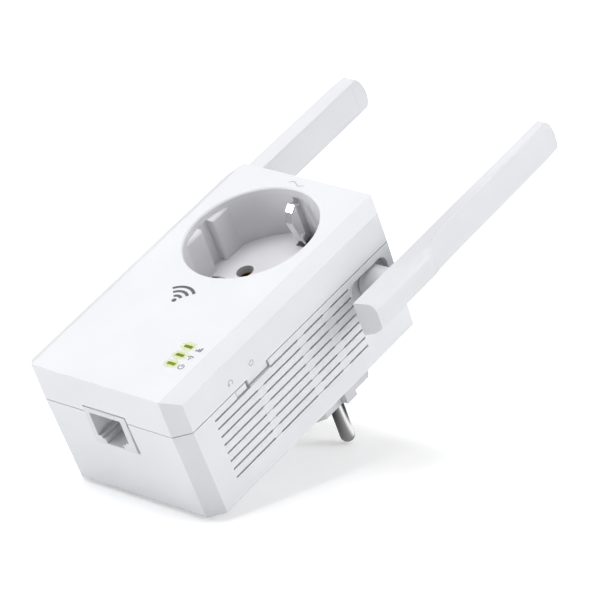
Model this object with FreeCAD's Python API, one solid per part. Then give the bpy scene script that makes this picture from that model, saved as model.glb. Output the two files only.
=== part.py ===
import FreeCAD, Part
import os

V = FreeCAD.Vector
os.makedirs("parts", exist_ok=True)

# Frame: mm, +Z up the long axis, front faces -Y, origin at the centre of the plug face.
# ---- body ----
HALF_W = 31.0            # half width of the body
TOP = 27.1               # upper end of the body
BOTTOM = -73.4           # lower end of the body
FRONT = -60.7            # front face
SEAM = -47.5             # joint between front cover and rear housing
BACK = -15.0             # rear face of the housing
CORNER_X = 4.9           # corner cut, measured across
CORNER_Z = 4.2           # corner cut, measured along
BEVEL = 2.8              # depth of the long front bevels
TAPER_X = 0.3            # draft of the rear housing, each side
TAPER_Z = 0.9            # draft of the rear housing, each end
WALL = 2.2
SEAM_GAP = 0.3
# ---- mains socket and plug ----
WELL_R = 21.5            # socket recess
WELL_DEPTH = 17.5
WELL_OUT_R = 23.7
RIM_DEPTH = 2.2          # depth of the recess that belongs to the front cover
FLAT_X = 19.0            # guide flats of the recess
CLIP_Z = 14.7            # the earth clips reach in to this distance from the centre
PIN_X = 9.5              # half the pin spacing
PIN_R = 2.4
PIN_LEN = 19.0
PLUG_R = 19.0
PLUG_FLAT = 16.0
PLUG_RIB = 18.0
# ---- vents ----
VENT_Y0 = -44.5
VENT_PITCH = 3.08
VENT_ROWS = 8
VENT_W = 0.7
VENT_SPANS = [(-60.5, -42.1), (-39.1, -21.9), (-18.8, -9.6), (-6.3, 2.6)]
# ---- push buttons in the right side ----
BTN_Y0 = -47.05
BTN_Y1 = -44.95
RESET_Z = (-49.9, -45.25)
POWER_Z = (-44.0, -34.9)
POWER_SUNK = 0.6         # the latched power button sits below the wall
# ---- network port ----
JACK_X = (-9.5, 7.7)
JACK_Y = (-49.4, -35.75)
PORT_X = (-7.6, 5.2)
PORT_Y = (-47.6, -38.8)
JACK_PROUD = 0.25        # the jack stands this far out of the lower end
# ---- status lights ----
LED_X = (16.3, 19.4)
LED_Z = [-49.9, -53.8, -57.8]
LED_H = 1.1
# ---- antenna hinge ----
HINGE_Y = -38.7
HINGE_Z = 13.8
POCKET_Y = (-44.8, -32.4)
POCKET_Z = (3.3, 20.2)
POCKET_X = 28.0          # floor of the hinge pocket
BOSS_R = 5.2
JOURNAL_R = 3.0
# ---- antenna ----
ANT_X = 37.3             # inner face
ANT_LOW = -2.7           # lower end
ANT_Y = (-45.0, -32.7)
# ---- screws ----
COVER_SCREWS = [(-19, 20.5), (19, 20.5), (-22, -65), (22, -65)]
BOARD_Y = -51.0          # front side of the main board
POWER_Y = -21.0          # front side of the power board
BOARD_T = 1.6


def box(x0, x1, y0, y1, z0, z1):
    return Part.makeBox(x1 - x0, y1 - y0, z1 - z0, V(x0, y0, z0))


def cyl_x(r, x0, x1, y, z):
    return Part.makeCylinder(r, x1 - x0, V(x0, y, z), V(1, 0, 0))


def cyl_y(r, y0, y1, x, z):
    return Part.makeCylinder(r, y1 - y0, V(x, y0, z), V(0, 1, 0))


def prism(points, push):
    ring = [V(*p) for p in points]
    return Part.Face(Part.makePolygon(ring + ring[:1])).extrude(V(*push))


def join(shapes):
    return shapes[0].fuse(shapes[1:]).removeSplitter()


def cut(base, tools):
    return base.cut(tools) if tools else base


def ribbon(points, t, x0, x1):
    """Bent strip of thickness t between x0 and x1, along (y, z) points, rounded at each bend."""
    pieces = [cyl_x(t / 2, x0, x1, y, z) for y, z in points]
    for (ya, za), (yb, zb) in zip(points, points[1:]):
        run = V(0, yb - ya, zb - za)
        off = V(0, -run.z, run.y).normalize() * (t / 2)
        a, b = V(x0, ya, za), V(x0, yb, zb)
        pieces.append(prism([a + off, b + off, b - off, a - off], (x1 - x0, 0, 0)))
    return join(pieces)


def group(shapes):
    return Part.makeCompound(shapes)


def mirror(shape):
    return shape.mirror(V(0, 0, 0), V(1, 0, 0))


def cord(points, r):
    """Round lead through the given corners."""
    pieces = []
    for a, b in zip(points, points[1:]):
        a, b = V(*a), V(*b)
        pieces.append(Part.makeCylinder(r, (b - a).Length, a, b - a))
    for p in points[1:-1]:
        pieces.append(Part.makeSphere(r, V(*p)))
    return join(pieces)


def save(name, shape):
    shape.exportStep("parts/%s.step" % name)


def outline(y, ix, iz):
    """Eight-sided body outline at depth y, inset by ix across and iz along."""
    w, top, low = HALF_W - ix, TOP - iz, BOTTOM + iz
    pts = [(w, low + CORNER_Z), (w, top - CORNER_Z), (w - CORNER_X, top), (CORNER_X - w, top),
           (-w, top - CORNER_Z), (-w, low + CORNER_Z), (CORNER_X - w, low), (w - CORNER_X, low)]
    return Part.makePolygon([V(x, y, z) for x, z in pts + pts[:1]])


def slab(inset, y0, y1):
    return Part.Face(outline(y0, inset, inset)).extrude(V(0, y1 - y0, 0))


def front_block(inset, y1):
    """Front half of the body with the two long bevels."""
    y0 = FRONT + inset
    w = HALF_W - inset
    block = slab(inset, y0, y1)
    wedges = []
    for s in (-1, 1):
        tri = [(s * (w - CORNER_X), y0, BOTTOM - 1), (s * (w + CORNER_X), y0, BOTTOM - 1),
               (s * (w + CORNER_X), y0 + 2 * BEVEL, BOTTOM - 1)]
        wedges.append(prism(tri, (0, 0, TOP - BOTTOM + 2)))
    return cut(block, wedges)


def jack_window(y0, y1):
    return box(JACK_X[0] - 0.3, JACK_X[1] + 0.3, y0, y1, BOTTOM - 1, BOTTOM + 5)


def led_slots(gap, y0, y1):
    return [box(LED_X[0] - gap, LED_X[1] + gap, y0, y1, z - LED_H / 2 - gap, z + LED_H / 2 + gap)
            for z in LED_Z]


def front_cover():
    shell = front_block(0, SEAM).cut(front_block(WALL, SEAM + 1))
    posts = [cyl_y(3.0, FRONT + 2, BACK - WALL, x, z) for x, z in COVER_SCREWS]
    posts += [cyl_y(2.4, FRONT + 2, BOARD_Y, x, -30) for x in (-18, 18)]
    body = join([shell] + posts)
    holes = [cyl_y(WELL_R, FRONT - 1, FRONT + RIM_DEPTH + 1, 0, 0),
             Part.makeCone(WELL_R + 0.4, WELL_R, 0.4, V(0, FRONT, 0), V(0, 1, 0)),
             jack_window(JACK_Y[0] - 0.3, SEAM + 1)]
    holes += [cyl_y(1.5, BACK - 16, BACK, x, z) for x, z in COVER_SCREWS]
    holes += [cyl_y(1.0, BOARD_Y - 5, BOARD_Y + 1, x, -30) for x in (-18, 18)]
    return cut(body, holes + led_slots(0.05, FRONT - 1, FRONT + WALL + 1))


def slot_spans(side, row):
    """Slots of one row. The first row on the right leaves out the length of the power button."""
    if side < 0 or row > 0:
        return VENT_SPANS
    below = (VENT_SPANS[0][0], POWER_Z[0])
    above = (POWER_Z[1] + 0.2, VENT_SPANS[1][1])
    return [below, above] + VENT_SPANS[2:]


def vent_tools(side):
    """Open slots and the shallow lines that join them, for one side."""
    tools = []
    for row in range(VENT_ROWS):
        y = VENT_Y0 + row * VENT_PITCH
        wall = HALF_W - TAPER_X * (y - SEAM) / (BACK - SEAM)
        deep = sorted((side * (HALF_W - 4), side * (HALF_W + 1)))
        shallow = sorted((side * (wall - 0.3), side * (HALF_W + 1)))
        tools += [box(*deep, y - VENT_W / 2, y + VENT_W / 2, z0, z1) for z0, z1 in slot_spans(side, row)]
        tools.append(box(*shallow, y - 0.15, y + 0.15, VENT_SPANS[0][0], VENT_SPANS[-1][1]))
    return tools


def hinge_pad():
    return box(26, HALF_W - 0.6, POCKET_Y[0] - 1.4, POCKET_Y[1] + 1.5, POCKET_Z[0] - 1.5, POCKET_Z[1] + 1.6)


def hinge_pocket():
    pocket = box(POCKET_X, HALF_W + 2, POCKET_Y[0], POCKET_Y[1], POCKET_Z[0], POCKET_Z[1])
    corners = [e for e in pocket.Edges if abs(e.Vertexes[0].X - e.Vertexes[-1].X) > 1]
    return pocket.makeFillet(3.0, corners).fuse(cyl_x(JOURNAL_R + 0.06, 20, 29, HINGE_Y, HINGE_Z))


def plug_contour(y0, y1, grow):
    """Round plug body with side flats and a guide rib on each flat."""
    disc = cyl_y(PLUG_R + grow, y0, y1, 0, 0)
    flats = box(-PLUG_FLAT - grow, PLUG_FLAT + grow, y0, y1, -25, 25)
    rib = box(-PLUG_RIB - grow, PLUG_RIB + grow, y0, y1, -2.3 - grow, 2.3 + grow)
    return join([disc.common(flats), rib])


def rear_housing():
    hull = Part.makeLoft([outline(SEAM + SEAM_GAP, 0, 0), outline(BACK, TAPER_X, TAPER_Z)], True, True)
    rim = [e for e in hull.Edges if all(abs(v.Y - BACK) < 1e-6 for v in e.Vertexes)]
    hull = hull.makeFillet(1.4, rim)
    room = Part.makeLoft([outline(SEAM, WALL, WALL),
                          outline(BACK - WALL, WALL + TAPER_X, WALL + TAPER_Z)], True, True)
    lip = slab(WALL + 0.1, SEAM - 2, SEAM + 1.5).cut(slab(WALL + 1.1, SEAM - 3, SEAM + 2))
    step = slab(WALL - 0.4, SEAM + SEAM_GAP, SEAM + 1.5).cut(slab(WALL + 1.1, SEAM - 1, SEAM + 2))
    posts = [cyl_y(2.4, POWER_Y + BOARD_T, BACK - 1, x, -32) for x in (-23, 23)]
    body = join([hull.cut(room), lip, step, hinge_pad(), mirror(hinge_pad())] + posts)
    holes = [hinge_pocket(), mirror(hinge_pocket()), jack_window(SEAM - 3, JACK_Y[1] + 0.3),
             box(26, HALF_W + 1, SEAM - 3, BTN_Y1 + 0.2, RESET_Z[0] - 0.2, POWER_Z[1] + 0.2),
             box(26, HALF_W - WALL, SEAM - 3, BTN_Y1 + 1.4, RESET_Z[0] - 1.2, POWER_Z[1] + 1.2),
             plug_contour(BACK - WALL - 1, BACK + 1, 0.05)]
    for x, z in COVER_SCREWS:
        holes.append(cyl_y(1.6, BACK - WALL - 1, BACK + 1, x, z))
        holes.append(cyl_y(2.9, BACK - 1.4, BACK + 1, x, z))
        holes.append(cyl_y(3.05, SEAM - 3, BACK - WALL, x, z))
    holes += [cyl_y(1.0, POWER_Y, BACK - 0.8, x, -32) for x in (-23, 23)]
    return cut(body, holes + vent_tools(1) + vent_tools(-1))


def screw(x, z, seat, tip, shaft_r, head_r, head_h):
    """Pan screw along Y: seat under the head, tip at the far end, cross recess in the head."""
    top = seat + head_h if tip < seat else seat - head_h
    mid = (seat + top) / 2
    head = cyl_y(head_r, min(seat, top), max(seat, top), x, z)
    shaft = cyl_y(shaft_r, min(seat, tip), max(seat, tip), x, z)
    arm = head_r * 0.6
    slots = [box(x - arm, x + arm, min(mid, top), max(mid, top), z - 0.3, z + 0.3),
             box(x - 0.3, x + 0.3, min(mid, top), max(mid, top), z - arm, z + arm)]
    return cut(join([head, shaft]), slots)


def board_screws(x, z, seat, tip):
    return group([screw(s * x, z, seat, tip, 0.95, 1.9, 1.1) for s in (-1, 1)])


def guide_ledge(side, y0, floor):
    """Flat on one side of the recess, parted by a groove, with rounded upper and inner edges."""
    x0, x1 = sorted((side * FLAT_X, side * (WELL_R + 1)))
    ledge = box(x0, x1, y0, floor + 1, -15, 15).common(cyl_y(WELL_R + 0.2, y0, floor + 1, 0, 0))
    ledge = ledge.cut(box(x0 - 1, x1 + 1, y0 - 1, floor + 2, -2.2, 2.2))
    inner = [e for e in ledge.Edges if all(abs(v.X - side * FLAT_X) < 1e-6 for v in e.Vertexes)]
    soft = [e for e in inner if all(v.Y < y0 + 1e-6 for v in e.Vertexes)]
    soft += [e for e in inner if all(abs(abs(v.Z) - 2.2) < 1e-6 for v in e.Vertexes)]
    return ledge.makeFillet(0.9, soft)


def socket_well():
    y0, floor = FRONT + RIM_DEPTH, FRONT + WELL_DEPTH
    cup = cyl_y(WELL_OUT_R, y0, floor + 2.5, 0, 0)
    room = cyl_y(WELL_R, y0 - 1, floor, 0, 0)
    ledges = [guide_ledge(s, y0, floor) for s in (-1, 1)]
    guards = [cyl_y(4.6, floor + 2, floor + 9, s * PIN_X, 0) for s in (-1, 1)]
    holes = [cyl_y(2.8, floor - 1, floor + 3, s * PIN_X, 0) for s in (-1, 1)]
    holes += [cyl_y(3.45, floor + 2.5, floor + 10, s * PIN_X, 0) for s in (-1, 1)]
    for s in (-1, 1):
        low, high = sorted((s * (CLIP_Z + 1), s * (WELL_R + 1.5)))
        holes.append(box(-1.7, 1.7, floor - 1, floor + 3, low, high))
        low, high = sorted((s * 20, s * (WELL_R + 1.5)))
        holes.append(box(-2.4, 2.4, y0 + 1.2, floor + 3, low, high))
    return cut(join([cup.cut(room)] + ledges + guards), holes)


def socket_earth_strap():
    """Two sprung earth clips in the recess, the bar behind the floor and the leg to the plug."""
    y0, floor = FRONT + RIM_DEPTH, FRONT + WELL_DEPTH
    path = [(floor + 2.9, CLIP_Z + 2.4), (floor - 0.5, CLIP_Z + 2.2), (y0 + 5.6, CLIP_Z + 0.35),
            (y0 + 2.8, CLIP_Z + 1.7), (y0 + 1.3, CLIP_Z + 3.6), (y0 + 2.0, CLIP_Z + 5.4)]
    clip = ribbon(path, 0.7, -1.3, 1.3)
    other = clip.mirror(V(0, 0, 0), V(0, 0, 1))
    bar = box(-1.3, 1.3, floor + 2.5, floor + 3.3, -CLIP_Z - 2.8, CLIP_Z + 2.8)
    leg = box(-1.3, 1.3, floor + 2.5, POWER_Y + 0.8, -14.0, -13.2)
    return join([clip, other, bar, leg])


def line_contact(side):
    """Sleeve that takes one pin of the appliance plug and reaches back to the plug pin."""
    y0 = FRONT + WELL_DEPTH + 2.5
    tube = cyl_y(3.4, y0, -22.0, side * PIN_X, 0)
    bore = cyl_y(2.45, y0 - 1, -24.0, side * PIN_X, 0)
    slot = box(side * PIN_X - 0.4, side * PIN_X + 0.4, y0 - 1, -28, -4, 4)
    return tube.cut([bore, slot])


def plug_pin(side):
    x = side * PIN_X
    body = cyl_y(PIN_R, 0, PIN_LEN - PIN_R, x, 0)
    return join([body, Part.makeSphere(PIN_R, V(x, PIN_LEN - PIN_R, 0)).common(box(-15, 15, 5, 25, -5, 5)),
                 cyl_y(2.0, -22.0, 0, x, 0)])


def plug_base():
    body = join([plug_contour(BACK - WALL, 0, 0), cyl_y(21.5, BACK - WALL - 2, BACK - WALL, 0, 0)])
    holes = []
    for s in (-1, 1):
        holes.append(cyl_y(2.05, -30, 1, s * PIN_X, 0))
        z0, z1 = sorted((s * 17.0, s * 20.0))
        holes.append(box(-4.2, 4.2, BACK - WALL - 3, -1.0, z0, z1))
    holes.append(cyl_y(3.25, -30, 1, 0, 10))
    return cut(body, holes)


def plug_earth_strap():
    """Side earth clips, earth sleeve and the bridge behind the plug base."""
    back = BACK - WALL - 2
    bridge = box(-4, 4, back - 1.0, back, -17.9, 17.9)
    path = [(back - 0.5, 17.55), (-12.4, 17.55), (-9.2, 18.5), (-4.4, 18.5), (-3.2, 17.6)]
    clip = ribbon(path, 0.7, -4, 4)
    sleeve = cyl_y(3.2, back - 0.5, -0.8, 0, 10)
    bore = cyl_y(2.45, back + 2, 1, 0, 10)
    return cut(join([bridge, sleeve, clip, clip.mirror(V(0, 0, 0), V(0, 0, 1))]), [bore])


def circuit_board(half, y, low, screws):
    """Board with cut lower corners, notches round the cover posts and its own screw holes."""
    chop = 4.2
    right = [(half, -27), (half, low + chop), (half - chop, low)]
    left = [(-x, z) for x, z in reversed(right)]
    board = prism([(x, y, z) for x, z in right + left], (0, BOARD_T, 0))
    posts = [cyl_y(3.3, y - 1, y + 3, x, z) for x, z in COVER_SCREWS[2:]]
    return cut(board, posts + [cyl_y(1.1, y - 1, y + 3, x, z) for x, z in screws])


def main_board():
    return circuit_board(26.8, BOARD_Y, -69.8, [(-18, -30), (18, -30)])


def power_board():
    return circuit_board(25.8, POWER_Y, -68.3, [(-23, -32), (23, -32)])


def rf_shield():
    can = box(-20, 2, BOARD_Y - 2.6, BOARD_Y, -62, -38)
    return can.cut(box(-19.7, 1.7, BOARD_Y - 2.3, BOARD_Y + 1, -61.7, -38.3))


def light_guide():
    y0 = FRONT + WALL
    bars = led_slots(0, FRONT, BOARD_Y - 1.2)
    return join(bars + [box(LED_X[0] - 1, LED_X[1] + 1, y0, y0 + 1.2, LED_Z[2] - 1.6, LED_Z[0] + 1.6)])


def status_leds():
    x0, x1 = LED_X[0] + 0.7, LED_X[1] - 0.7
    return group([box(x0, x1, BOARD_Y - 0.9, BOARD_Y, z - 0.5, z + 0.5) for z in LED_Z])


def rj45_jack():
    block = box(JACK_X[0], JACK_X[1], JACK_Y[0], JACK_Y[1], BOTTOM - JACK_PROUD, BOTTOM + 18)
    room = box(PORT_X[0], PORT_X[1], PORT_Y[0], PORT_Y[1], BOTTOM - 1, BOTTOM + 14)
    mid = (PORT_X[0] + PORT_X[1]) / 2
    shoulder = box(mid - 4.9, mid + 4.9, PORT_Y[1], PORT_Y[1] + 0.9, BOTTOM - 1, BOTTOM + 12)
    latch = box(mid - 3.6, mid + 3.6, PORT_Y[1], JACK_Y[1] - 0.5, BOTTOM - 1, BOTTOM + 10)
    return cut(block, [room, shoulder, latch])


def rj45_contacts():
    mid = (PORT_X[0] + PORT_X[1]) / 2
    wires = []
    for i in range(8):
        x = mid + (i - 3.5) * 1.02
        side = [(x - 0.2, PORT_Y[0] + 0.05, BOTTOM + 13.95), (x - 0.2, PORT_Y[0] + 0.45, BOTTOM + 13.95),
                (x - 0.2, PORT_Y[0] + 1.9, BOTTOM + 7.0), (x - 0.2, PORT_Y[0] + 1.5, BOTTOM + 6.8),
                (x - 0.2, PORT_Y[0] + 0.05, BOTTOM + 13.0)]
        wires.append(prism(side, (0.4, 0, 0)))
    return group(wires)


def reset_switch():
    body = box(21.0, 25.5, BOARD_Y + BOARD_T, -44.4, -49.8, -45.4)
    return body.cut(cyl_x(0.95, 23.5, 26, -46.2, -47.6))


def reset_button():
    cap = box(27.3, HALF_W - 0.05, BTN_Y0, BTN_Y1, RESET_Z[0], RESET_Z[1])
    cap = cap.makeFillet(0.3, [e for e in cap.Edges if all(v.X > HALF_W - 1 for v in e.Vertexes)])
    flange = box(27.3, HALF_W - WALL - 0.15, BTN_Y0, BTN_Y1 + 1.0, RESET_Z[0] - 0.8, RESET_Z[1])
    return join([cap, flange, cyl_x(0.9, 24.2, 27.5, -46.2, -47.6)])


def power_switch():
    body = box(15.5, 23.0, BOARD_Y + BOARD_T, -43.4, -44.0, -35.0)
    return body.cut(box(18.0, 24.0, -47.6, -44.9, -41.0, -38.0))


def power_button():
    face = HALF_W - POWER_SUNK
    cap = box(26.3, face, BTN_Y0, BTN_Y1, POWER_Z[0], POWER_Z[1])
    cap = cap.makeFillet(0.3, [e for e in cap.Edges if all(v.X > face - 0.1 for v in e.Vertexes)])
    flange = box(25.6, 26.9, BTN_Y0, BTN_Y1 + 1.0, POWER_Z[0] - 0.6, POWER_Z[1] + 0.8)
    return join([cap, flange, box(18.6, 26.0, -47.5, -45.0, -40.9, -38.1)])


def transformer():
    y0, y1 = POWER_Y - 14, POWER_Y - 2
    sides = [box(-19, -3, y0, y1, -50, -46), box(-19, -3, y0, y1, -38, -34)]
    core = join(sides + [box(-13, -9, y0, y1, -48, -36)])
    coil = cyl_y(7.0, POWER_Y - 12.5, POWER_Y - 3.5, -11, -42).common(box(-19, -3, -40, -20, -46, -38))
    return join([core, coil, box(-19, -3, POWER_Y - 2, POWER_Y, -50, -34)])


def filter_capacitors():
    return group([cyl_y(5.0, POWER_Y - 15, POWER_Y, 8, -40), cyl_y(5.0, POWER_Y - 15, POWER_Y, 19.5, -44),
                  cyl_y(4.0, POWER_Y - 11, POWER_Y, 8, -52)])


def fuse():
    return join([cyl_x(2.4, -10, 6, POWER_Y - 3.4, -61), box(-9, -7, POWER_Y - 3.4, POWER_Y, -62, -60),
                 box(3, 5, POWER_Y - 3.4, POWER_Y, -62, -60)])


def mains_leads():
    return group([cord([(s * PIN_X, -27, -4.3), (s * PIN_X, -27, -29), (s * PIN_X, POWER_Y, -29)], 0.8)
                  for s in (-1, 1)])


def link_leads():
    return group([cyl_y(0.6, BOARD_Y + BOARD_T, POWER_Y, -24, z) for z in (-53, -56)])


def antenna_bar():
    """Full-length bar: slanted front, canted back, softened outer corners."""
    x, (y0, y1) = ANT_X, ANT_Y
    section = [(x, y0), (x + 9.1, y0 - 1.7), (x + 9.1, y0 + 7.2), (x + 5.0, y1 - 2.0), (x, y1)]
    radii = [0.3, 2.4, 1.6, 4.0, 0.5]
    bar = prism([(a, b, ANT_LOW) for a, b in section], (0, 0, 96))
    for (a, b), r in zip(section, radii):
        edge = [e for e in bar.Edges if all(abs(v.X - a) + abs(v.Y - b) < 1e-6 for v in e.Vertexes)]
        bar = bar.makeFillet(r, edge)
    return bar


def profile(curve, rest, push):
    """Solid swept from one smooth curve closed by straight edges."""
    spline = Part.BSplineCurve()
    spline.interpolate(curve)
    corners = [curve[-1]] + rest + [curve[0]]
    return Part.Face(Part.Wire([spline.toShape()] + Part.makePolygon(corners).Edges)).extrude(push)


def antenna_body():
    """Hinge block that scoops down to a thin blade, with a rounded tip."""
    x, (y0, y1) = ANT_X, ANT_Y
    scoop = [(9.1, 23.8), (7.3, 26.0), (5.9, 29.2), (5.1, 34.0), (4.9, 40.0)]
    outer = [(4.6, 84.0), (3.9, 90.5), (2.4, 94), (-1, 94), (-1, ANT_LOW - 1), (9.1, ANT_LOW - 1)]
    scoop = [V(x + a, y0 - 5, z) for a, z in scoop]
    outer = [V(x + a, y0 - 5, z) for a, z in outer]
    tip = [(y0 - 1.9, 86.6), (y0 + 0.4, 90.2), (y0 + 2.8, 91.6), (y0 + 6.5, 92.5),
           (y1 - 2.5, 92.2), (y1 - 0.6, 91.0), (y1 + 0.2, 88.6)]
    below = [(y1 + 0.2, ANT_LOW - 1), (y0 - 1.9, ANT_LOW - 1)]
    tip = [V(x - 1, y, z) for y, z in tip]
    below = [V(x - 1, y, z) for y, z in below]
    side = profile(scoop, outer, V(0, 25, 0))
    return antenna_bar().common(side).common(profile(tip, below, V(12, 0, 0)))


def cover_plate(x0, x1, gap):
    """Plate let into the inner face of the antenna."""
    y0, y1 = ANT_Y[0] + 0.9 - gap, ANT_Y[1] - 1.6 + gap
    z0, z1 = ANT_LOW + 1.0 - gap, 87.5 + gap
    return box(x0, x1, y0, y1, z0, z1)


def antenna_shell():
    room = box(ANT_X + 1.2, ANT_X + 3.4, ANT_Y[0] + 2.4, ANT_Y[1] - 3.2, 2, 84)
    return antenna_body().cut([cover_plate(ANT_X - 1, ANT_X + 1.2, 0.04), room])


def antenna_cover():
    plate = cover_plate(ANT_X, ANT_X + 1.15, 0)
    boss = cyl_x(BOSS_R, POCKET_X + 0.6, ANT_X, HINGE_Y, HINGE_Z)
    foot = Part.makeCone(BOSS_R, BOSS_R + 0.5, 0.5, V(ANT_X - 0.5, HINGE_Y, HINGE_Z), V(1, 0, 0))
    journal = cyl_x(JOURNAL_R, 24.2, POCKET_X + 1, HINGE_Y, HINGE_Z)
    neck = cyl_x(4, 24.95, 25.85, HINGE_Y, HINGE_Z).cut(cyl_x(2.4, 24, 27, HINGE_Y, HINGE_Z))
    return cut(join([plate, boss, foot, journal]), [neck, cyl_x(1.1, 24, ANT_X + 2, HINGE_Y, HINGE_Z)])


def hinge_clip():
    ring = cyl_x(4.8, 25.0, 25.8, HINGE_Y, HINGE_Z).cut(cyl_x(2.4, 24, 27, HINGE_Y, HINGE_Z))
    return ring.cut(box(24, 27, HINGE_Y - 1.9, HINGE_Y + 1.9, HINGE_Z - 6, HINGE_Z))


def hinge_washer():
    bore = cyl_x(JOURNAL_R + 0.06, 27, 30, HINGE_Y, HINGE_Z)
    return cyl_x(4.4, POCKET_X, POCKET_X + 0.55, HINGE_Y, HINGE_Z).cut(bore)


def antenna_element():
    return box(ANT_X + 1.25, ANT_X + 2.05, ANT_Y[0] + 2.9, ANT_Y[1] - 3.7, 17, 83)


def antenna_coax():
    return cord([(ANT_X + 1.0, HINGE_Y, HINGE_Z), (23.4, HINGE_Y, HINGE_Z), (23.4, HINGE_Y, -29.0),
                 (23.4, BOARD_Y + BOARD_T, -29.0)], 0.6)


def coax_socket():
    y0 = BOARD_Y + BOARD_T
    return cyl_y(1.4, y0, y0 + 1.2, 23.4, -29.0).cut(cyl_y(0.6, y0 - 1, y0 + 3, 23.4, -29.0))


save("front_cover", front_cover())
save("rear_housing", rear_housing())
save("housing_screws", group([screw(x, z, BACK - 1.4, BACK - 14, 1.45, 2.8, 1.3) for x, z in COVER_SCREWS]))
save("socket_well", socket_well())
save("socket_earth_strap", socket_earth_strap())
save("live_contact", line_contact(1))
save("neutral_contact", line_contact(-1))
save("plug_base", plug_base())
save("plug_pin_live", plug_pin(1))
save("plug_pin_neutral", plug_pin(-1))
save("plug_earth_strap", plug_earth_strap())
save("main_board", main_board())
save("main_board_screws", board_screws(18, -30, BOARD_Y + BOARD_T, BOARD_Y - 4))
save("processor", box(-15, -5, BOARD_Y - 1.2, BOARD_Y, -56, -46))
save("rf_shield", rf_shield())
save("status_leds", status_leds())
save("light_guide", light_guide())
save("rj45_jack", rj45_jack())
save("rj45_contacts", rj45_contacts())
save("reset_switch", reset_switch())
save("reset_button", reset_button())
save("power_switch", power_switch())
save("power_button", power_button())
save("power_board", power_board())
save("power_board_screws", board_screws(23, -32, POWER_Y, BACK - 1.0))
save("transformer", transformer())
save("filter_capacitors", filter_capacitors())
save("fuse", fuse())
save("mains_leads", mains_leads())
save("link_leads", link_leads())

pair = [antenna_shell, antenna_cover, antenna_element, hinge_clip, hinge_washer, antenna_coax, coax_socket]
for maker in pair:
    shape = maker()
    save(maker.__name__ + "_right", shape)
    save(maker.__name__ + "_left", mirror(shape))
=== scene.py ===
"""Looks of the wifi range extender: materials, printed marks, lit indicators, floor, lights and camera."""
import math

import bpy
from mathutils import Matrix, Vector


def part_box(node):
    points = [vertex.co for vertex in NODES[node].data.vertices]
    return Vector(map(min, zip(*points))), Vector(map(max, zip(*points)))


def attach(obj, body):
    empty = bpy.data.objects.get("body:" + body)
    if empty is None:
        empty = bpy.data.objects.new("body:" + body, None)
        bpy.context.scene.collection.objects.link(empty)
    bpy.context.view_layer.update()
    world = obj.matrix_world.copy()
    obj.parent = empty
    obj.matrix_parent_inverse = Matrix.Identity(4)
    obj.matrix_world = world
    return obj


MM = 0.001
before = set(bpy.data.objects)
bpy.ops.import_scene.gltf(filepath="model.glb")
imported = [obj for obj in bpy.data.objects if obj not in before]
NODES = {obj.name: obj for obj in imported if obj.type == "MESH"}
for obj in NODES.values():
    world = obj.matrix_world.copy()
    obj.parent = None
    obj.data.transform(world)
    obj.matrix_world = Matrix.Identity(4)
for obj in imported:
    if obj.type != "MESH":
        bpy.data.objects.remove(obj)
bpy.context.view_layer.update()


def box_mm(node):
    """Lowest and highest corner of a CAD node, in millimetres."""
    low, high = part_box(node)
    return low / MM, high / MM


COVER_LOW, COVER_HIGH = box_mm("front_cover")
REAR_LOW, REAR_HIGH = box_mm("rear_housing")
GUIDE_LOW, GUIDE_HIGH = box_mm("light_guide")
PIN_LOW, PIN_HIGH = box_mm("plug_pin_live")
RESET_LOW, RESET_HIGH = box_mm("reset_button")
POWER_LOW, POWER_HIGH = box_mm("power_button")

FRONT_Y = COVER_LOW.y  # front face
SIDE_X = COVER_HIGH.x  # side face with the buttons
RECESS_R = 21.5  # socket recess, at the origin
LED_X = (GUIDE_LOW.x + GUIDE_HIGH.x) / 2
LED_Z = (GUIDE_LOW.z + GUIDE_HIGH.z) / 2  # middle indicator
LED_PITCH = 3.95
LED_HALF = (1.55, 0.55)  # half width and half height of one bar
GLOW_HALF = (3.2, 2.3)  # how far the glow reaches
GLOW_PROUD = 0.015
EDGE_ROUND = 0.5  # bevel of the rear housing's edge


# ---------------------------------------------------------------- shader building blocks
def new_material(name):
    """Material, its node tree and its Principled shader."""
    material = bpy.data.materials.new(name)
    material.use_nodes = True
    tree = material.node_tree
    return material, tree, tree.nodes["Principled BSDF"]


def add(tree, kind, **values):
    node = tree.nodes.new(kind)
    for name, value in values.items():
        setattr(node, name, value)
    return node


def noise(tree, scale, detail, stretch=(1, 1, 1)):
    """Noise in the object's own coordinates, drawn out by stretch."""
    coord = add(tree, "ShaderNodeTexCoord")
    mapping = add(tree, "ShaderNodeMapping")
    mapping.inputs["Scale"].default_value = stretch
    tree.links.new(coord.outputs["Object"], mapping.inputs["Vector"])
    texture = add(tree, "ShaderNodeTexNoise")
    texture.inputs["Scale"].default_value = scale
    texture.inputs["Detail"].default_value = detail
    tree.links.new(mapping.outputs["Vector"], texture.inputs["Vector"])
    return texture.outputs["Fac"]


def ramp(tree, source, stops):
    """Colour ramp from a list of (position, colour)."""
    node = add(tree, "ShaderNodeValToRGB")
    elements = node.color_ramp.elements
    while len(elements) < len(stops):
        elements.new(0.5)
    for element, (position, colour) in zip(elements, stops):
        element.position = position
        element.color = (*colour, 1)
    tree.links.new(source, node.inputs["Fac"])
    return node.outputs["Color"]


def spread(tree, source, low, high, start=0.0, end=1.0):
    """Maps source from start..end to low..high."""
    node = add(tree, "ShaderNodeMapRange")
    node.inputs["From Min"].default_value = start
    node.inputs["From Max"].default_value = end
    node.inputs["To Min"].default_value = low
    node.inputs["To Max"].default_value = high
    tree.links.new(source, node.inputs["Value"])
    return node


def blend_shaders(tree, factor, first, second):
    node = add(tree, "ShaderNodeMixShader")
    tree.links.new(factor, node.inputs["Fac"])
    tree.links.new(first, node.inputs[1])
    tree.links.new(second, node.inputs[2])
    return node.outputs["Shader"]


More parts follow.
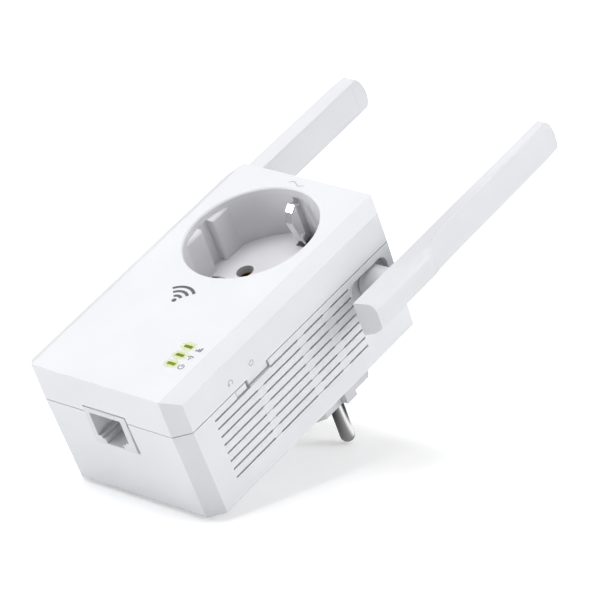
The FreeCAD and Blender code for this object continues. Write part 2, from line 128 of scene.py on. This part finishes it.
def mottled(tree, shader, source, colour, vary):
    """Base colour that wanders a little lighter and darker."""
    stops = [(place, tuple(channel * level for channel in colour))
             for place, level in ((0.3, 1 - vary), (0.7, 1 + vary))]
    tree.links.new(ramp(tree, source, stops), shader.inputs["Base Color"])


def uneven_gloss(tree, shader, source, low, high):
    tree.links.new(spread(tree, source, low, high).outputs["Result"], shader.inputs["Roughness"])


# ---------------------------------------------------------------- materials of the object
def moulded(name, colour, rough=0.38, depth=0.04, vary=0.015, specular=0.45):
    """Moulded plastic: faint flow marks in the colour, uneven gloss, fine spark texture."""
    material, tree, shader = new_material(name)
    cloud = noise(tree, 55.0, 3.0)
    mottled(tree, shader, cloud, colour, vary)
    uneven_gloss(tree, shader, cloud, rough - 0.05, rough + 0.05)
    bump = add(tree, "ShaderNodeBump")
    bump.inputs["Strength"].default_value = depth
    bump.inputs["Distance"].default_value = 0.0001
    tree.links.new(noise(tree, 2600.0, 2.0), bump.inputs["Height"])
    tree.links.new(bump.outputs["Normal"], shader.inputs["Normal"])
    shader.inputs["Specular IOR Level"].default_value = specular
    return material


def metal(name, colour, rough=0.15, stretch=(1, 1, 1)):
    """Plated or stamped metal with drawn-out fine marks."""
    material, tree, shader = new_material(name)
    marks = noise(tree, 900.0, 5.0, stretch)
    mottled(tree, shader, marks, colour, 0.06)
    uneven_gloss(tree, shader, marks, max(0.02, rough - 0.06), rough + 0.08)
    shader.inputs["Metallic"].default_value = 1.0
    return material


def lit(name, dim, bright, strength):
    """Glowing resin of an indicator, in brighter and dimmer patches."""
    material, tree, shader = new_material(name)
    colour = ramp(tree, noise(tree, 1500.0, 2.0), [(0.3, dim), (0.7, bright)])
    tree.links.new(colour, shader.inputs["Base Color"])
    tree.links.new(colour, shader.inputs["Emission Color"])
    shader.inputs["Emission Strength"].default_value = strength
    shader.inputs["Roughness"].default_value = 0.3
    return material


def halo(name):
    """Painted glow: light that spreads in the white plastic round an indicator and fades out, drawn as a
    colour, not emitted.
    """
    material, tree, shader = new_material(name)
    patches = noise(tree, 800.0, 2.0)
    colour = ramp(tree, patches, [(0.3, (0.70, 0.82, 0.32)), (0.7, (0.75, 0.86, 0.42))])
    tree.links.new(colour, shader.inputs["Base Color"])
    shader.inputs["Roughness"].default_value = 0.4
    coord = add(tree, "ShaderNodeTexCoord")
    centred = add(tree, "ShaderNodeMapping")
    centred.inputs["Location"].default_value = (-1, -1, 0)
    centred.inputs["Scale"].default_value = (2, 2, 1)
    tree.links.new(coord.outputs["UV"], centred.inputs["Vector"])
    fade = add(tree, "ShaderNodeTexGradient", gradient_type="SPHERICAL")
    tree.links.new(centred.outputs["Vector"], fade.inputs["Vector"])
    tree.links.new(fade.outputs["Fac"], shader.inputs["Alpha"])
    return material


SHELL = moulded("shell_plastic", (0.75, 0.76, 0.785))
HOUSING = moulded("housing_plastic", (0.74, 0.75, 0.775), rough=0.42, depth=0.08)
ANTENNA = moulded("antenna_plastic", (0.73, 0.74, 0.765), rough=0.36)
SOCKET = moulded("socket_plastic", (0.73, 0.725, 0.745), rough=0.30, depth=0.02)
# Plug base: the white plastic painted darker than the shell, as painted shade on the plug.
PLUG_PAINTED_SHADE = moulded("plug_plastic_painted_shade", (0.62, 0.625, 0.64), rough=0.34)
BUTTON = moulded("button_plastic", (0.75, 0.76, 0.78), rough=0.33)
JACK = moulded("jack_plastic", (0.68, 0.69, 0.71), rough=0.40)
BOARD = moulded("solder_mask", (0.03, 0.20, 0.08), rough=0.35, vary=0.12)
CHIP = moulded("chip_epoxy", (0.03, 0.03, 0.035), rough=0.5, vary=0.15)
SWITCH = moulded("switch_body", (0.05, 0.05, 0.055), rough=0.45, vary=0.1)
COIL = moulded("coil_tape", (0.62, 0.48, 0.10), rough=0.4, vary=0.08)
SLEEVE = moulded("capacitor_sleeve", (0.05, 0.06, 0.13), rough=0.35, vary=0.1)
CERAMIC = moulded("fuse_ceramic", (0.68, 0.64, 0.54), rough=0.5, vary=0.05)
LEAD = moulded("lead_insulation", (0.25, 0.10, 0.06), rough=0.45, vary=0.1)
COAX = moulded("coax_jacket", (0.06, 0.06, 0.065), rough=0.45, vary=0.1)
NYLON = moulded("washer_nylon", (0.66, 0.66, 0.66), rough=0.45, vary=0.03)
GUIDE = moulded("light_guide", (0.19, 0.26, 0.03), rough=0.4, vary=0.25, specular=0.2)
INK = moulded("printed_grey", (0.13, 0.135, 0.145), rough=0.5, vary=0.08, depth=0.02)
PALE_INK = moulded("printed_pale", (0.38, 0.39, 0.41), rough=0.5, vary=0.05, depth=0.02)
NICKEL = metal("pin_nickel", (0.60, 0.60, 0.605), rough=0.12, stretch=(1, 0.05, 1))
SPRING = metal("spring_strip", (0.74, 0.74, 0.75), rough=0.08, stretch=(1, 0.1, 1))
BRASS = metal("contact_brass", (0.72, 0.55, 0.25), rough=0.25)
GOLD = metal("contact_gold", (0.83, 0.62, 0.24), rough=0.18)
SCREW = metal("screw_zinc", (0.55, 0.55, 0.57), rough=0.25)
TIN = metal("shield_tin", (0.70, 0.71, 0.72), rough=0.30)
LED = lit("led_lit", (0.55, 0.9, 0.1), (0.75, 1.0, 0.2), 6.0)
HALO = halo("led_halo")

FINISH = {
    "front_cover": SHELL, "rear_housing": HOUSING, "housing_screws": SCREW, "socket_well": SOCKET,
    "socket_earth_strap": SPRING, "live_contact": BRASS, "neutral_contact": BRASS, "plug_base": PLUG_PAINTED_SHADE,
    "plug_pin_live": NICKEL, "plug_pin_neutral": NICKEL, "plug_earth_strap": SPRING, "main_board": BOARD,
    "main_board_screws": SCREW, "processor": CHIP, "rf_shield": TIN, "status_leds": LED,
    "light_guide": GUIDE, "rj45_jack": JACK, "rj45_contacts": GOLD, "reset_switch": SWITCH,
    "reset_button": BUTTON, "power_switch": SWITCH, "power_button": BUTTON, "power_board": BOARD,
    "power_board_screws": SCREW, "transformer": COIL, "filter_capacitors": SLEEVE, "fuse": CERAMIC,
    "mains_leads": LEAD, "link_leads": LEAD,
}
PER_ANTENNA = {
    "antenna_shell": ANTENNA, "antenna_cover": ANTENNA, "antenna_element": BOARD, "hinge_clip": SPRING,
    "hinge_washer": NYLON, "antenna_coax": COAX, "coax_socket": GOLD,
}


def paint_nodes():
    """Gives every CAD node its material."""
    for part, material in PER_ANTENNA.items():
        for side in ("left", "right"):
            FINISH[part + "_" + side] = material
    for name, node in NODES.items():
        node.data.materials.clear()
        node.data.materials.append(FINISH[name])


# ---------------------------------------------------------------- printed marks
def mesh_piece(name, points, faces, material):
    """New piece on the housing, from points in millimetres."""
    mesh = bpy.data.meshes.new(name)
    mesh.from_pydata([Vector(point) * MM for point in points], [], faces)
    mesh.materials.append(material)
    mesh.update()
    piece = bpy.data.objects.new(name, mesh)
    bpy.context.scene.collection.objects.link(piece)
    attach(piece, "housing")
    return piece


class Artwork:
    """Printed lines as thin raised ink on a plane: its origin, then its across, up and outward axes."""

    SUNK = 0.02

    def __init__(self, origin, across, up, outward, thickness=0.03):
        self.origin = Vector(origin)
        self.axes = [Vector(axis) for axis in (across, up, outward)]
        self.thickness = thickness
        self.points = []
        self.faces = []

    def outline(self, corners):
        """One closed outline, raised by the thickness of the ink."""
        first, count = len(self.points), len(corners)
        across, up, outward = self.axes
        for height in (-self.SUNK, self.thickness):
            self.points += [self.origin + across * x + up * y + outward * height for x, y in corners]
        top = [first + count + i for i in range(count)]
        self.faces.append(top)
        for i in range(count):
            j = (i + 1) % count
            self.faces.append([first + i, first + j, top[j], top[i]])

    def bar(self, x0, y0, x1, y1):
        self.outline([(x0, y0), (x1, y0), (x1, y1), (x0, y1)])

    def arc(self, x, y, radius, width, start, end, steps=20):
        """Part of a ring, from angle start to end in degrees."""
        inner, outer = radius - width / 2, radius + width / 2
        for i in range(steps):
            a, b = (math.radians(start + (end - start) * k / steps) for k in (i, i + 1))
            corners = [(inner, a), (outer, a), (outer, b), (inner, b)]
            self.outline([(x + r * math.cos(t), y + r * math.sin(t)) for r, t in corners])

    def disc(self, x, y, radius, steps=20):
        turns = [2 * math.pi * i / steps for i in range(steps)]
        self.outline([(x + radius * math.cos(t), y + radius * math.sin(t)) for t in turns])

    def radio(self, x, y, size, width, arcs):
        """Dot with arcs that open upward."""
        self.disc(x, y, width * 0.8)
        for k in range(arcs):
            self.arc(x, y, size * (k + 1) / arcs, width, start=45, end=135)

    def power(self, x, y, radius, width):
        """Open ring with a short bar in its gap."""
        self.arc(x, y, radius, width, start=125, end=415, steps=28)
        self.bar(x - width / 2, y + radius * 0.1, x + width / 2, y + radius * 1.25)

    def sine(self, x, y, length, height, width, steps=24):
        """One period of a wave, centred on x."""
        for i in range(steps):
            part = [i / steps, (i + 1) / steps]
            x0, x1 = (x + (p - 0.5) * length for p in part)
            y0, y1 = (y + height * math.sin(2 * math.pi * p) for p in part)
            half = width / 2
            self.outline([(x0, y0 - half), (x1, y1 - half), (x1, y1 + half), (x0, y0 + half)])

    def build(self, name, material):
        return mesh_piece(name, self.points, self.faces, material)


def front_artwork(thickness=0.03):
    return Artwork((0, FRONT_Y, 0), (1, 0, 0), (0, 0, 1), (0, -1, 0), thickness)


def led_rows():
    """Heights of the three indicators, from the top."""
    return [LED_Z + LED_PITCH * k for k in (1, 0, -1)]


def front_mark():
    """Plain radio-wave symbol between the socket and the indicators."""
    art = front_artwork(0.04)
    art.radio(x=-1.9, y=-RECESS_R - 12.7, size=6.2, width=1.0, arcs=3)
    art.build("front_mark", INK)


def status_icons():
    """Signal, radio and power symbols beside the indicators."""
    art = front_artwork()
    signal, radio, power = led_rows()
    left, middle = GUIDE_HIGH.x + 0.8, GUIDE_HIGH.x + 1.5
    for i, height in enumerate((0.7, 1.2, 1.8)):
        x = left + i * 0.75
        art.bar(x, signal - 0.9, x + 0.5, signal - 0.9 + height)
    art.radio(x=middle, y=radio - 0.75, size=1.5, width=0.3, arcs=2)
    art.power(x=middle, y=power - 0.2, radius=0.95, width=0.3)
    art.build("status_icons", INK)


def button_icons():
    """Return arrow and power sign on the side, each in front of its button."""
    art = Artwork((SIDE_X, 0, 0), (0, 0, 1), (0, -1, 0), (1, 0, 0))
    height = -REAR_LOW.y + 1.5
    reset = (RESET_LOW.z + RESET_HIGH.z) / 2 - 2.4
    power = (POWER_LOW.z + POWER_HIGH.z) / 2 - 1.45
    radius, width = 0.85, 0.25
    art.arc(reset, height, radius, width, start=-60, end=210, steps=24)
    arrow = reset - radius
    art.outline([(arrow - 0.5, height - 0.1), (arrow + 0.5, height - 0.1), (arrow, height - 0.8)])
    art.power(power, height, radius, width)
    art.build("button_icons", PALE_INK)


def mains_symbol():
    """Alternating-current sign above the socket."""
    art = front_artwork()
    art.sine(x=-1.5, y=COVER_HIGH.z - 3.2, length=6.0, height=0.7, width=0.26)
    art.build("mains_symbol", PALE_INK)


def led_glow(name, z, steps=32):
    """Flat ring of painted glow from the edge of one bar outward."""
    y = FRONT_Y - GLOW_PROUD
    points, faces = [], []
    for i in range(steps):
        turn = 2 * math.pi * i / steps
        right, up = math.cos(turn), math.sin(turn)
        reach = min(half / max(abs(part), 1e-6) for half, part in zip(LED_HALF, (right, up)))
        points.append((LED_X + reach * right, y, z + reach * up))
        points.append((LED_X + GLOW_HALF[0] * right, y, z + GLOW_HALF[1] * up))
    for i in range(steps):
        a, b = 2 * i, 2 * ((i + 1) % steps)
        faces.append([a, a + 1, b + 1, b])
    ring = mesh_piece(name, points, faces, HALO)
    uv = ring.data.uv_layers.new(name="spread")
    for loop in ring.data.loops:
        place = ring.data.vertices[loop.vertex_index].co / MM
        across = (place.x - LED_X) / GLOW_HALF[0]
        up = (place.z - z) / GLOW_HALF[1]
        uv.data[loop.index].uv = (0.5 + across / 2, 0.5 + up / 2)


paint_nodes()
front_mark()
status_icons()
button_icons()
mains_symbol()
for row, z in enumerate(led_rows()):
    led_glow("led_glow_%d" % (row + 1), z)


# ---------------------------------------------------------------- floor, lights and camera
FLOOR_N = Vector((0.0, -0.9025, 0.4303)).normalized()  # the unit lies on its pins and lower rear edge
CENTRE = Vector((0, -35.0, 0)) * MM
LIGHT_DISTANCE = 1.2
CAM_PLACE = Vector((804.02, -733.23, -622.31)) * MM
CAM_RIGHT = Vector((0.734221, 0.289347, 0.614165))
CAM_UP = Vector((-0.201853, -0.770687, 0.604398))
CAM_BACK = Vector((0.648209, -0.567733, -0.507448))
WHITE = (1, 1, 1, 1)


def painted_floor_reflection(tree):
    """Painted reflection that shiny parts see in the floor: painted shade under the body, a painted lit
    strip beside it.
    """
    place = add(tree, "ShaderNodeNewGeometry")
    along = add(tree, "ShaderNodeVectorMath", operation="DOT_PRODUCT")
    along.inputs[1].default_value = (1, 0, 1)
    tree.links.new(place.outputs["Position"], along.inputs[0])
    unit = spread(tree, along.outputs["Value"], low=0, high=1, start=-0.02, end=0.08)
    levels = [(0.05, 0.02), (0.20, 0.16), (0.36, 0.42), (0.50, 1.5), (0.62, 1.5), (0.74, 0.50), (0.86, 0.08)]
    strip = ramp(tree, unit.outputs["Result"], [(at, (level,) * 3) for at, level in levels])
    glow = add(tree, "ShaderNodeEmission")
    tree.links.new(strip, glow.inputs["Color"])
    return glow.outputs["Emission"]


def floor_paper():
    """White matt paper, evenly white away from the object and open from below."""
    material, tree, shader = new_material("floor_paper")
    tone = ramp(tree, noise(tree, 6.0, 2.0), [(0.3, (0.90,) * 3), (0.7, (0.92,) * 3)])
    tree.links.new(tone, shader.inputs["Base Color"])
    shader.inputs["Roughness"].default_value = 0.9
    shader.inputs["Specular IOR Level"].default_value = 0.1
    shader.inputs["Emission Color"].default_value = WHITE
    place = add(tree, "ShaderNodeNewGeometry")
    away = add(tree, "ShaderNodeVectorMath", operation="LENGTH")
    tree.links.new(place.outputs["Position"], away.inputs[0])
    fade = spread(tree, away.outputs["Value"], low=0.24, high=1.0, start=0.25, end=0.55)
    path = add(tree, "ShaderNodeLightPath")
    lift = spread(tree, path.outputs["Is Camera Ray"], 0.10, 1.0)
    tree.links.new(fade.outputs["Result"], lift.inputs["To Max"])
    tree.links.new(lift.outputs["Result"], shader.inputs["Emission Strength"])
    # Glossy rays see the painted reflection instead of the floor.
    top = blend_shaders(tree, path.outputs["Is Glossy Ray"], shader.outputs["BSDF"], painted_floor_reflection(tree))
    clear = add(tree, "ShaderNodeBsdfTransparent")
    both = blend_shaders(tree, place.outputs["Backfacing"], top, clear.outputs["BSDF"])
    tree.links.new(both, tree.nodes["Material Output"].inputs["Surface"])
    return material


def stage_floor(half=3.0, gap=0.2):
    """Floor that touches the lower rear edge of the housing and the round tips of the pins."""
    radius = (PIN_HIGH.x - PIN_LOW.x) / 2
    edge = Vector((0, REAR_HIGH.y, REAR_LOW.z + EDGE_ROUND))
    tip = Vector((PIN_LOW.x + radius, PIN_HIGH.y - radius, 0)) - radius * FLOOR_N
    height = min(edge.dot(FLOOR_N), tip.dot(FLOOR_N)) - gap
    mesh = bpy.data.meshes.new("floor")
    corners = [(x * half, y * half, 0) for x, y in ((-1, -1), (1, -1), (1, 1), (-1, 1))]
    mesh.from_pydata(corners, [], [(0, 1, 2, 3)])
    mesh.materials.append(floor_paper())
    floor = bpy.data.objects.new("floor", mesh)
    turn = FLOOR_N.to_track_quat("Z", "Y").to_matrix().to_4x4()
    floor.matrix_world = Matrix.Translation(FLOOR_N * height * MM) @ turn
    bpy.context.scene.collection.objects.link(floor)


def soft_light(name, direction, size, power):
    """Square soft box, aimed at the middle of the object."""
    data = bpy.data.lights.new(name, "AREA")
    data.energy = power
    data.size = size
    light = bpy.data.objects.new(name, data)
    light.location = CENTRE + direction.normalized() * LIGHT_DISTANCE
    light.rotation_euler = direction.to_track_quat("Z", "Y").to_euler()
    bpy.context.scene.collection.objects.link(light)
    return light


def lights():
    """Key from the front, two side lights, and a sparkle that only bare metal mirrors."""
    left = CAM_RIGHT * -1.0 + CAM_BACK * 0.15
    key = soft_light("key", Vector((-0.12, -0.95, 0.12)), 0.8, 10.6)
    low_left = soft_light("low_left", left, 0.5, 6.6)
    soft_light("fill", CAM_RIGHT * 0.85 + CAM_UP * 0.3 + CAM_BACK * 0.2, 0.8, 7.0)
    key.visible_glossy = False
    low_left.visible_glossy = False
    sparkle = soft_light("sparkle", Vector((-0.65, -0.65, -0.40)), 0.3, 3.0)
    sparkle.visible_diffuse = False
    bare = bpy.data.collections.new("bare_metal")
    for name, node in NODES.items():
        if FINISH[name] in (SPRING, NICKEL):
            bare.objects.link(node)
    sparkle.light_linking.receiver_collection = bare


def background(tree, level):
    node = add(tree, "ShaderNodeBackground")
    node.inputs["Color"].default_value = WHITE
    node.inputs["Strength"].default_value = level
    return node


def studio_world(around, front, mirrored):
    """White room, dimmer on the photographer's side; shiny parts see it darker, the camera sees it white."""
    world = bpy.data.worlds.new("studio")
    world.use_nodes = True
    tree = world.node_tree
    coord = add(tree, "ShaderNodeTexCoord")
    facing = add(tree, "ShaderNodeVectorMath", operation="DOT_PRODUCT")
    facing.inputs[1].default_value = CAM_BACK
    tree.links.new(coord.outputs["Generated"], facing.inputs[0])
    room = background(tree, around)
    level = spread(tree, facing.outputs["Value"], around, front)
    tree.links.new(level.outputs["Result"], room.inputs["Strength"])
    path = add(tree, "ShaderNodeLightPath")
    unseen = blend_shaders(
        tree, path.outputs["Is Glossy Ray"], room.outputs["Background"],
        background(tree, mirrored).outputs["Background"])
    seen = blend_shaders(
        tree, path.outputs["Is Camera Ray"], unseen, background(tree, 1.0).outputs["Background"])
    tree.links.new(seen, tree.nodes["World Output"].inputs["Surface"])
    bpy.context.scene.world = world


def place_camera():
    lens = bpy.data.cameras.new("camera")
    lens.sensor_width = 36.0
    lens.lens = 245.52
    lens.clip_end = 20.0
    camera = bpy.data.objects.new("camera", lens)
    pose = Matrix((CAM_RIGHT, CAM_UP, CAM_BACK)).transposed().to_4x4()
    pose.translation = CAM_PLACE
    camera.matrix_world = pose
    bpy.context.scene.collection.objects.link(camera)
    bpy.context.scene.camera = camera


stage_floor()
lights()
studio_world(around=0.62, front=0.14, mirrored=0.15)
place_camera()
bpy.context.scene.view_settings.view_transform = "Standard"
